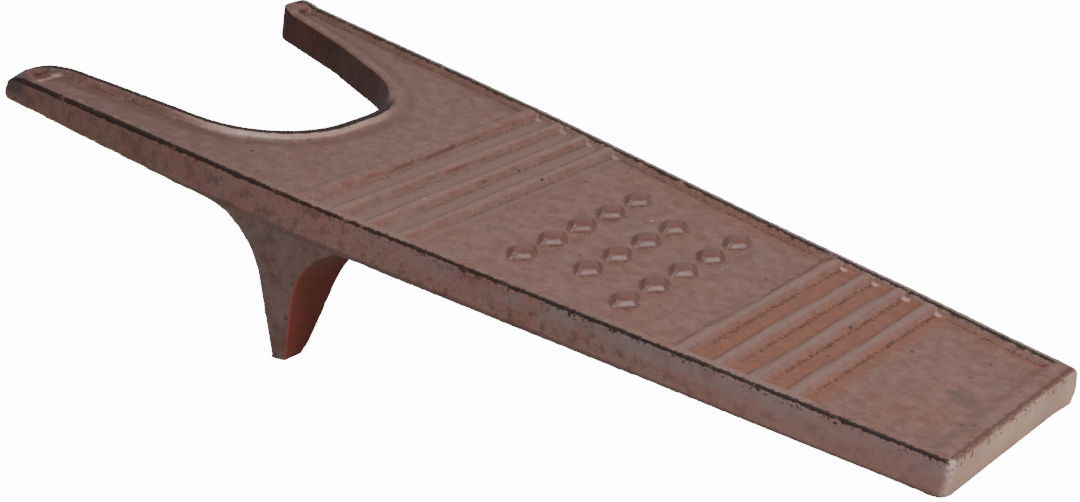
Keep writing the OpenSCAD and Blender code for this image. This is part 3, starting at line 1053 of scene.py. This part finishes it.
def bare_arrises(coat):
    """Bare dark iron in a ragged line on the arrises, browner at the tail end."""
    u, z, inside, on_side = coat.u, coat.z, coat.inside, coat.on_side
    from_arris = coat.less(sums(coat.tree, "ADD", inside, z), CASTING_T)
    crest = coat.between(z, CASTING_T - 2.1, CASTING_T - 1.2)
    broad = coat.scaled(coat.between(u, 170.0, 270.0), 0.40, 0.62)
    near_line = coat.band(from_arris, -0.05, broad, 0.3, 1.9, 800.0)
    near_line = coat.both(near_line, coat.less(1.0, coat.far_half))
    far_rim = coat.both(coat.far_half, on_side, coat.between(u, 3.5, 7.0))
    coat.tint(FAR_RIM_GREY, far_rim, crest, coat.between(inside, 2.4, 1.7), 0.7)
    far_line = coat.both(coat.band(inside, 2.6, 0.33, 0.45, 1.6, 600.0), far_rim)
    breaks = coat.between(coat.spots(180, 4, 0.6), 0.28, 0.44)
    line = coat.both(coat.either(near_line, far_line), crest, on_side, breaks, coat.between(u, -1.5, 2.5))
    notch_line = coat.band(inside, 1.1, 1.3, 0.4, 0.9, 400.0)
    notch_line = coat.both(notch_line, crest, coat.notch, coat.between(coat.w, -26.0, -16.0))
    chips = coat.band(from_arris, -0.8, 0.8, 0.8, 2.2, 450.0)
    chips = coat.both(chips, on_side, coat.between(coat.specks, 0.55, 0.63), coat.between(u, 240.0, 100.0))
    line = coat.either(coat.either(line, notch_line), chips)
    bare = coat.ramp(coat.between(u, 0.5, 3.0), (0.0, BARE_AT_TAIL), (1.0, BARE))
    coat.tint(bare, line, 0.9)
    return line


def worn_ends_and_corner_highlight(coat):
    """A dark line on the tail's arris, the left tip's dark nose, and a painted highlight on the tail's left
    corner.
    """
    u, w, z = coat.u, coat.w, coat.z
    tail_line = coat.band(u, 1.4, 0.35, 0.35, 2.6, 600.0)
    coat.tint(DARK_BROWN, tail_line, coat.top, coat.between(z, 8.5, 9.4), 0.7)
    nose = coat.both(
        coat.between(u, BOARD_L - 12.0, BOARD_L - 7.0),
        coat.between(w, 32.0, 38.0), coat.between(z, 3.8, 6.2),
    )
    nose_spots = coat.between(coat.clouds, 0.26, 0.46)
    coat.tint(BARE_AT_NOSE, nose, nose_spots, coat.between(coat.inside, 4.5, 3.0), 0.85)
    # Painted highlight: a light spot on the tail's left corner, broken up by specks and stronger high up
    corner = coat.both(
        coat.between(u, 2.1, 0.8), coat.between(w, TAIL_W / 2 - 2.3, TAIL_W / 2 - 1.0),
        coat.between(z, -2.0, 2.0),
    )
    highlight_strength = coat.scaled(coat.between(z, 5.5, 8.5), 0.5, 0.3)
    coat.tint(CORNER_HIGHLIGHT, corner, coat.between(coat.specks, 0.36, 0.54), highlight_strength)


def pits_and_specks(coat):
    """A few light specks, dark pits, and scratches that show lighter."""
    cells = add(coat.tree, "ShaderNodeTexVoronoi", {"Vector": coat.place, "Scale": 110.0, "Randomness": 1.0})
    drawn = add(coat.tree, "ShaderNodeSeparateColor", {"Color": cells.outputs["Color"]}).outputs[1]
    reach = coat.scaled(coat.fine, 0.12, cells.outputs["Distance"])
    coat.tint(SHEEN, coat.between(reach, 0.135, 0.10), coat.between(drawn, 0.86, 0.90), coat.top, 0.7)
    coat.tint(BARE, coat.cast["Pits"], 0.8)
    coat.tint(DUST_AND_SHEEN, coat.cast["Scratches"], 0.3)


def weathered_iron(name, grain, worn):
    """Red-brown paint gone thin on cast iron: rusty grooves and rubbed arrises, with painted shade in the
    hollows and towards the prongs, painted highlights and sheen, and a painted reflection on the sides.
    """
    paint = bpy.data.materials.new(name)
    paint.use_nodes = True
    tree = paint.node_tree
    skin = tree.nodes["Principled BSDF"]
    coat = Coat(tree, grain, worn)
    mottled_paint(coat)
    clouds_and_speckle(coat)
    sides_with_painted_reflection(coat)
    tail_notch_and_legs(coat)
    groove_dirt_and_shade(coat)
    sheen = shining_places(coat)
    coat.tint(STUD_RED, coat.stud, 0.6)
    line = bare_arrises(coat)
    worn_ends_and_corner_highlight(coat)
    pits_and_specks(coat)
    tree.links.new(coat.colour, skin.inputs["Base Color"])

    # Bare iron and the notch's wall are dull, and the shining places and the studs glossier
    dull = coat.either(line, coat.both(coat.side, coat.notch))
    tree.links.new(coat.scaled(dull, -0.35, 0.5), skin.inputs["Specular IOR Level"])
    rough = coat.scaled(coat.fine, 0.3, 0.30)
    rough = coat.scaled(coat.dirt, 0.15, rough)
    rough = coat.scaled(sheen, -0.15, rough)
    rough = sums(tree, "MULTIPLY_ADD", coat.stud, -0.08, rough, clamp=True)
    tree.links.new(rough, skin.inputs["Roughness"])
    rise = coat.scaled(coat.both(coat.rusty, coat.dirt_spots), 1.2, coat.cast["Height"])
    bump = add(tree, "ShaderNodeBump", {"Strength": 0.75, "Distance": 0.3 * MM, "Height": rise})
    tree.links.new(bump.outputs["Normal"], skin.inputs["Normal"])
    return paint


# Making it all

place_camera()
light_studio()
lay_floor()

pieces = part_casting(cast())
grain, worn = casting_grain_group(), worn_band_group()
board_skin = weathered_iron("weathered iron", grain, worn)

stands_for = {
    "footboard": ("deck_plate", "rim", "front_ridges", "rear_ridges", "grip_studs"),
    "left_prong_skin": ("left_prong",),
    "right_prong_skin": ("right_prong",),
    "left_leg_skin": ("left_leg",),
    "right_leg_skin": ("right_leg",),
}
for name, piece in pieces.items():
    piece.data.materials.clear()
    piece.data.materials.append(board_skin)
    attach(piece, "root")
    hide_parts(*stands_for[name])
